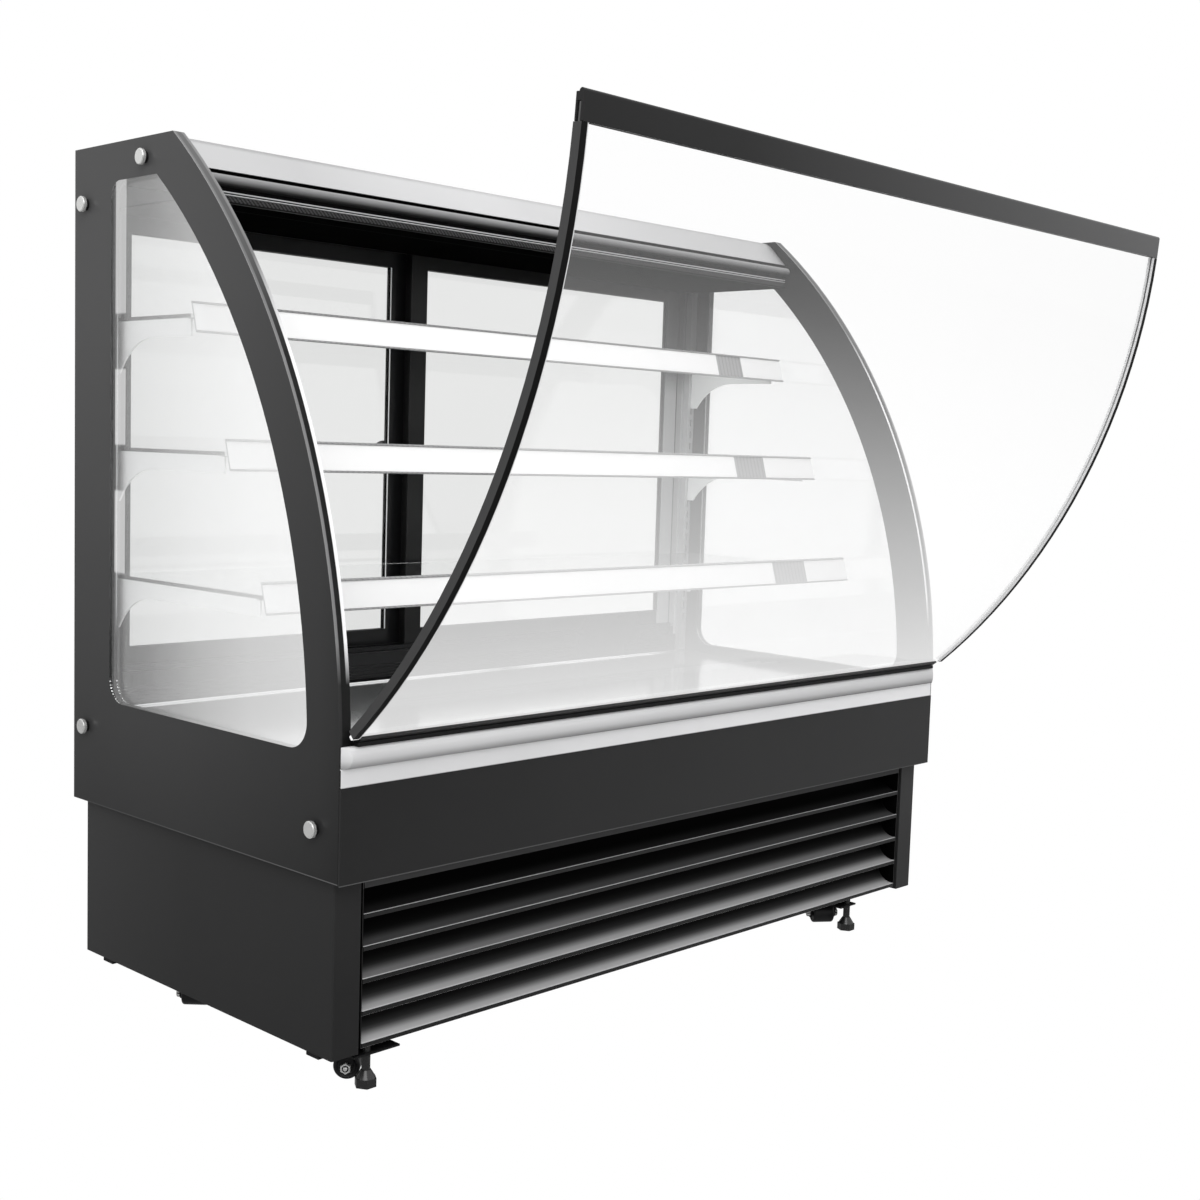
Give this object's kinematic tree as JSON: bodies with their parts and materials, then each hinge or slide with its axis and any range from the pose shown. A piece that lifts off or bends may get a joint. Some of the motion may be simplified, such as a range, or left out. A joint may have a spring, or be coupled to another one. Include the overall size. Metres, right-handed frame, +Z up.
{
  "type": "refrigerated bakery display case",
  "caption": "Free-standing refrigerated bakery case with a tilting curved front glass, glazed curved side panels, glass shelves over a steel deck, sliding rear doors and a louvred machine base.",
  "frame": {"origin": "on the floor, under the middle of the footprint with the front glass standing open", "axes": "+X along the case to the customer's right, +Y from the customer's side to the rear doors, +Z up"},
  "size_m": [1.524, 1.164, 1.395],
  "materials": {
    "body_paint": "dark grey satin powder coat",
    "chassis_black": "black satin paint",
    "tub_paint": "dark satin paint over an insulated shell",
    "panel_print": "dark grey ceramic print on toughened glass",
    "stainless": "brushed stainless steel",
    "trim": "satin anodised aluminium",
    "bumper": "satin anodised aluminium, rounded",
    "chrome": "polished chrome",
    "clear_glass": "clear toughened glass",
    "front_glass": "clear curved toughened glass with a faint green edge",
    "shelf_glass": "clear toughened glass with polished green edges",
    "seal_rubber": "matt black rubber",
    "black_plastic": "black satin plastic",
    "black_aluminium": "black anodised aluminium profile",
    "grey_aluminium": "satin grey aluminium profile",
    "white_steel": "white powder coat",
    "lamp_cover": "ribbed opal plastic",
    "paper": "plain white insert",
    "coil_fins": "bare aluminium fins with copper tube",
    "wheel_nylon": "black nylon"
  },
  "bodies": {
    "cabinet": {"chassis_frame": "chassis_black", "castor_plates": "chassis_black", "base_side_left": "body_paint", "base_side_right": "body_paint", "base_rear_panel": "body_paint", "louvre_grille": "body_paint", "compressor": "chassis_black", "condenser_coil": "coil_fins", "condenser_fan_shroud": "chassis_black", "drain_tray": "stainless", "tub_shell": "tub_paint", "evaporator_coil": "coil_fins", "evaporator_fan_plate": "stainless", "deck_pans": "stainless", "rear_duct_cover": "black_aluminium", "front_fascia": "body_paint", "front_trim_strip": "trim", "front_bumper": "bumper", "glass_hinge_base": "black_aluminium", "side_border_left": "panel_print", "side_border_right": "panel_print", "side_window_left": "clear_glass", "side_window_right": "clear_glass", "side_fixing_caps": "chrome", "side_fixing_bushes": "black_plastic", "top_cover": "stainless", "canopy_soffit": "chassis_black", "canopy_round_rail": "grey_aluminium", "canopy_lamp": "lamp_cover", "door_track_rails": "black_aluminium", "door_jambs": "black_aluminium", "shelf_uprights": "trim", "shelf_brackets": "white_steel", "shelf_glass": "shelf_glass", "price_strips": "trim", "price_inserts": "paper", "control_panel": "black_plastic"},
    "door_left": {"door_left_frame": "black_aluminium", "door_left_glass": "clear_glass"},
    "door_right": {"door_right_frame": "black_aluminium", "door_right_glass": "clear_glass"},
    "front_glass": {"front_glass_pane": "front_glass", "front_glass_side_seals": "seal_rubber", "front_glass_handle_rail": "black_aluminium", "front_glass_hinge_rail": "black_aluminium"},
    "condenser_fan": {"condenser_fan_blade": "black_plastic"},
    "evaporator_fan": {"evaporator_fan_blade": "black_plastic"},
    "lamp_rocker": {"lamp_switch": "black_plastic"},
    "foot_left": {"levelling_foot_left": "black_plastic"},
    "foot_right": {"levelling_foot_right": "black_plastic"},
    "fork_front_left": {"castor_fork_front_left": "chassis_black"},
    "wheel_front_left": {"castor_wheel_front_left": "wheel_nylon"},
    "fork_front_right": {"castor_fork_front_right": "chassis_black"},
    "wheel_front_right": {"castor_wheel_front_right": "wheel_nylon"},
    "fork_rear_left": {"castor_fork_rear_left": "chassis_black"},
    "wheel_rear_left": {"castor_wheel_rear_left": "wheel_nylon"},
    "fork_rear_right": {"castor_fork_rear_right": "chassis_black"},
    "wheel_rear_right": {"castor_wheel_rear_right": "wheel_nylon"},
    "pedal_left": {"brake_pedal_left": "black_plastic"},
    "pedal_right": {"brake_pedal_right": "black_plastic"}
  },
  "joints": [
    {"name": "front_glass_tilt", "type": "hinge", "parent": "cabinet", "child": "front_glass", "pos_m": [0, -0.156, 0.524], "axis": [1, 0, 0], "range_deg": [-52, 0]},
    {"name": "door_left_slide", "type": "slide", "parent": "cabinet", "child": "door_left", "axis": [1, 0, 0], "range_m": [0, 0.6]},
    {"name": "door_right_slide", "type": "slide", "parent": "cabinet", "child": "door_right", "axis": [1, 0, 0], "range_m": [-0.6, 0]},
    {"name": "condenser_fan_spin", "type": "hinge", "parent": "cabinet", "child": "condenser_fan", "pos_m": [-0.32, 0.027, 0.17], "axis": [0, 1, 0], "continuous": true},
    {"name": "evaporator_fan_spin", "type": "hinge", "parent": "cabinet", "child": "evaporator_fan", "pos_m": [-0.18, 0.244, 0.402], "axis": [0, 1, 0], "continuous": true},
    {"name": "lamp_rocker_tip", "type": "hinge", "parent": "cabinet", "child": "lamp_rocker", "pos_m": [0.52, 0.566, 0.228], "axis": [1, 0, 0], "range_deg": [-16, 0]},
    {"name": "swivel_front_left", "type": "hinge", "parent": "cabinet", "child": "fork_front_left", "pos_m": [-0.665, -0.06, 0.049], "axis": [0, 0, 1], "continuous": true},
    {"name": "roll_front_left", "type": "hinge", "parent": "fork_front_left", "child": "wheel_front_left", "pos_m": [-0.65944, -0.06575, 0.021], "axis": [0.7193, 0.6947, 0], "continuous": true},
    {"name": "swivel_front_right", "type": "hinge", "parent": "cabinet", "child": "fork_front_right", "pos_m": [0.534, -0.06, 0.049], "axis": [0, 0, 1], "continuous": true},
    {"name": "roll_front_right", "type": "hinge", "parent": "fork_front_right", "child": "wheel_front_right", "pos_m": [0.5387, -0.05353, 0.021], "axis": [-0.809, 0.5878, 0], "continuous": true},
    {"name": "swivel_rear_left", "type": "hinge", "parent": "cabinet", "child": "fork_rear_left", "pos_m": [-0.665, 0.338, 0.049], "axis": [0, 0, 1], "continuous": true},
    {"name": "roll_rear_left", "type": "hinge", "parent": "fork_rear_left", "child": "wheel_rear_left", "pos_m": [-0.65924, 0.34356, 0.02], "axis": [-0.6947, 0.7193, 0], "continuous": true},
    {"name": "swivel_rear_right", "type": "hinge", "parent": "cabinet", "child": "fork_rear_right", "pos_m": [0.534, 0.338, 0.049], "axis": [0, 0, 1], "continuous": true},
    {"name": "roll_rear_right", "type": "hinge", "parent": "fork_rear_right", "child": "wheel_rear_right", "pos_m": [0.54152, 0.34074, 0.02], "axis": [-0.342, 0.9397, 0], "continuous": true},
    {"name": "brake_left", "type": "hinge", "parent": "fork_front_left", "child": "pedal_left", "pos_m": [-0.64902, -0.07655, 0.041], "axis": [0.7193, 0.6947, 0], "range_deg": [0, 10]},
    {"name": "brake_right", "type": "hinge", "parent": "fork_front_right", "child": "pedal_right", "pos_m": [0.54752, -0.04139, 0.041], "axis": [-0.809, 0.5878, 0], "range_deg": [0, 10]},
    {"name": "foot_left_screw", "type": "slide", "parent": "cabinet", "child": "foot_left", "axis": [0, 0, 1], "range_m": [-0.009, 0]},
    {"name": "foot_right_screw", "type": "slide", "parent": "cabinet", "child": "foot_right", "axis": [0, 0, 1], "range_m": [-0.009, 0]}
  ]
}
